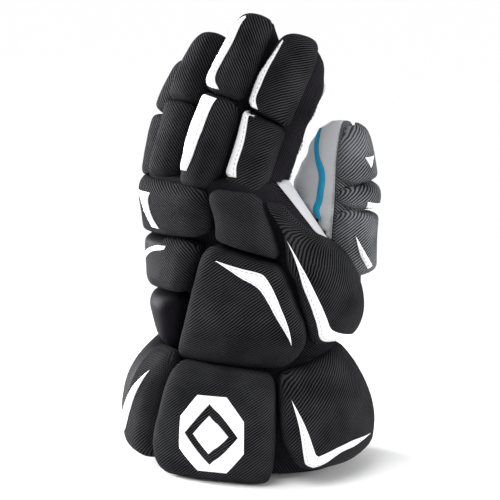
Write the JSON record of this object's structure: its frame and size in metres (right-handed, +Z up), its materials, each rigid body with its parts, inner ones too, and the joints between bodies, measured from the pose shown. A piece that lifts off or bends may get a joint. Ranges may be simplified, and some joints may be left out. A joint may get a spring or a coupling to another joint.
{
  "type": "lacrosse glove",
  "caption": "Padded left-hand lacrosse glove standing on its flared cuff, with segmented finger, back and cuff pads, white inlays and a light grey suede palm",
  "frame": {"origin": "Under the middle of the glove's outer box, on the surface that the cuff stands on.", "axes": "+Z up toward the fingertips, -Y out of the back of the hand, +Y out of the palm, +X toward the thumb."},
  "size_m": [0.1746, 0.1356, 0.3075],
  "materials": {
    "ribbed_mesh": "Black polyester mesh with fine diagonal ribs, matt, greyer where light grazes it.",
    "thumb_mesh": "Dark grey ribbed mesh on the pads of the thumb, matt.",
    "fine_cloth": "Fine black knitted cloth of the finger sides and the glove's body, matt.",
    "black_leather": "Smooth black synthetic leather, a little shiny.",
    "white_leather": "White synthetic leather with a fine grain, a little shiny.",
    "suede": "Light grey suede of the palm side, matt with a short nap.",
    "blue_trim": "Teal blue stitched trim.",
    "lining": "Dark teal cloth lining of the cuff."
  },
  "bodies": {
    "root": {"palm_suede": "suede", "hand_liner": "fine_cloth", "cuff_lining": "lining", "index_palm": "suede", "index_sleeve": "fine_cloth", "middle_palm": "suede", "middle_sleeve": "fine_cloth", "ring_palm": "suede", "ring_sleeve": "fine_cloth", "pinky_palm": "suede", "pinky_sleeve": "fine_cloth", "thumb_palm": "suede", "thumb_sleeve": "fine_cloth", "index_tip_pad": "ribbed_mesh", "index_base_pad": "ribbed_mesh", "middle_tip_pad": "ribbed_mesh", "middle_base_pad": "ribbed_mesh", "ring_tip_pad": "ribbed_mesh", "ring_base_pad": "ribbed_mesh", "pinky_tip_pad": "ribbed_mesh", "pinky_base_pad": "ribbed_mesh", "thumb_tip_pad": "thumb_mesh", "thumb_middle_pad": "thumb_mesh", "thumb_base_pad": "thumb_mesh", "cuff_centre_roll": "ribbed_mesh", "cuff_little_finger_roll": "ribbed_mesh", "cuff_thumb_roll": "ribbed_mesh", "cuff_palm_roll": "ribbed_mesh", "knuckle_pad_little": "ribbed_mesh", "knuckle_pad_index": "ribbed_mesh", "back_pad_centre": "ribbed_mesh", "back_pad_little": "ribbed_mesh", "stretch_panel": "black_leather", "back_pad_thumb": "ribbed_mesh", "index_base_strip": "white_leather", "index_tip_strip": "white_leather", "middle_base_strip": "white_leather", "middle_tip_strip": "white_leather", "thumb_tip_mark": "white_leather", "thumb_side_mark": "white_leather", "thumb_base_strip": "white_leather", "back_chevron": "white_leather", "thumb_chevron": "white_leather", "knuckle_mark": "white_leather", "little_crescent": "white_leather", "cuff_fork": "white_leather", "cuff_corner": "white_leather", "badge_rim": "white_leather", "badge_diamond": "white_leather", "thumb_piping_long": "blue_trim", "thumb_piping_short": "blue_trim"}
  },
  "joints": []
}
